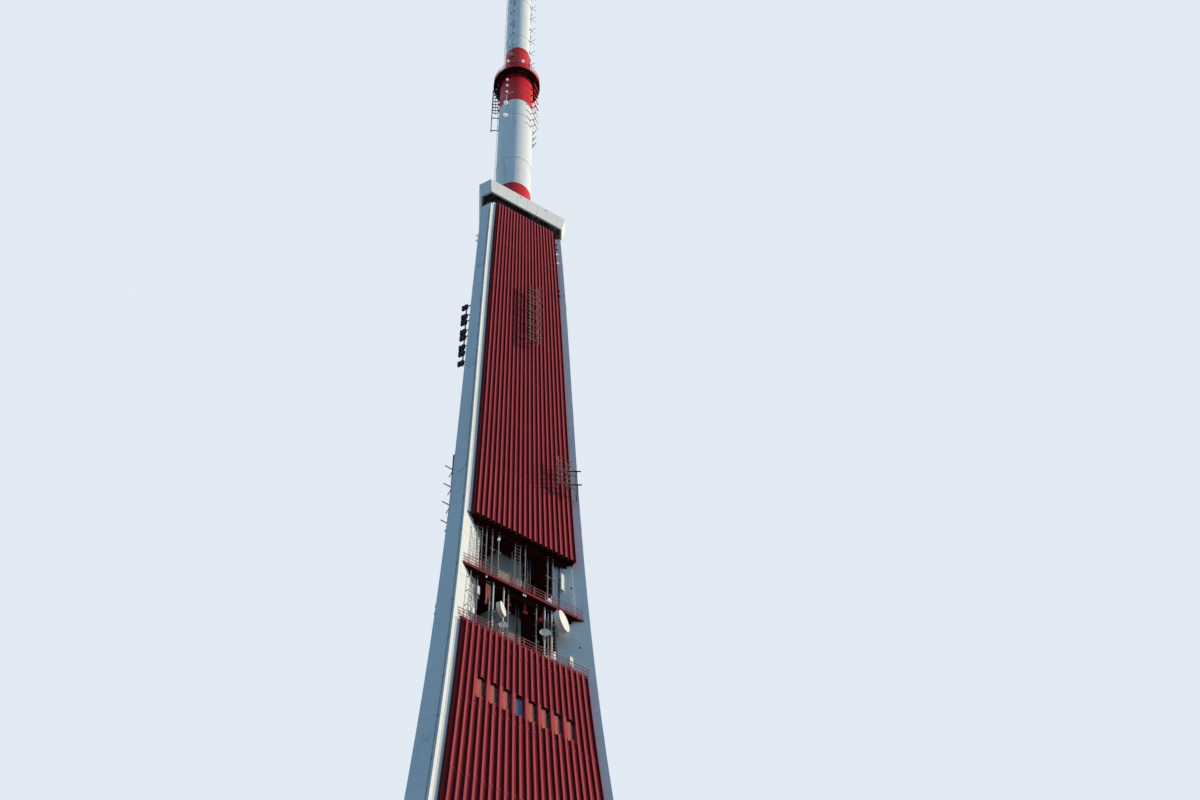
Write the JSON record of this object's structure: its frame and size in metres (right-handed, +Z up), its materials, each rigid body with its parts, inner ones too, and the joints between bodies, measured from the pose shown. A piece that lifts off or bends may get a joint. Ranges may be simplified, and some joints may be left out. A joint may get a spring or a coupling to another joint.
{
  "type": "scale model of a radio and television tower, 1:10",
  "caption": "Tall broadcasting tower at one tenth size: three splayed box legs, ribbed red cladding between pillars, open galleries with dishes, and a stepped tubular mast with aerials.",
  "frame": {"origin": "centre of the base, on the underside of the foundation", "axes": "+Z up along the mast; -Y towards the wall seen in the picture, +X to its right"},
  "size_m": [5.503, 4.7657, 36.85],
  "materials": {
    "aerial_cream": "radome, smooth",
    "concrete": "cast concrete, dull",
    "dark_steel": "matt dark paint",
    "galvanised": "dull galvanised",
    "grey_steel": "matt paint",
    "mast_red": "satin paint",
    "mast_white": "satin paint",
    "red_cladding": "satin paint on ribbed sheet",
    "red_steel": "satin paint, weathered",
    "white_steel": "matt paint, weathered",
    "window_glass": "dark glazing"
  },
  "bodies": {
    "root": {"foundation": "concrete", "leg_front_left": "white_steel", "leg_front_right": "white_steel", "leg_back": "white_steel", "pillar_front_left": "white_steel", "pillar_front_right": "white_steel", "pillar_back": "white_steel", "deck_wall_front": "grey_steel", "deck_wall_right": "grey_steel", "deck_wall_left": "grey_steel", "deck_windows": "window_glass", "knee_floor": "grey_steel", "deck_floor": "grey_steel", "deck_roof": "grey_steel", "lower_cladding_front": "red_cladding", "lower_cladding_right": "red_cladding", "lower_cladding_left": "red_cladding", "window_frames": "red_steel", "window_glass": "window_glass", "gallery_floor_low": "red_steel", "gallery_floor_mid": "red_steel", "gallery_floor_high": "red_steel", "upper_cladding_front": "red_cladding", "upper_cladding_right": "red_cladding", "upper_cladding_left": "red_cladding", "central_shaft": "grey_steel", "cap_band": "white_steel", "cap_roof": "grey_steel", "cap_lattice": "dark_steel", "mast_tube_low": "mast_red", "mast_tube_middle": "mast_white", "mast_tube_high": "mast_red", "mast_tip": "mast_red", "mast_gallery": "mast_red", "mast_collars": "mast_red", "mast_forked_dipoles": "aerial_cream", "mast_ring_dipoles": "dark_steel", "mast_side_dipoles": "aerial_cream", "mast_lights": "aerial_cream", "railing_low": "red_steel", "railing_mid": "red_steel", "railing_deck": "grey_steel", "service_pipes": "galvanised", "dish_large": "aerial_cream", "dishes_small": "aerial_cream", "panel_aerials": "aerial_cream", "wall_aerial": "aerial_cream", "edge_aerial": "aerial_cream", "pillar_aerials": "dark_steel"}
  },
  "joints": []
}
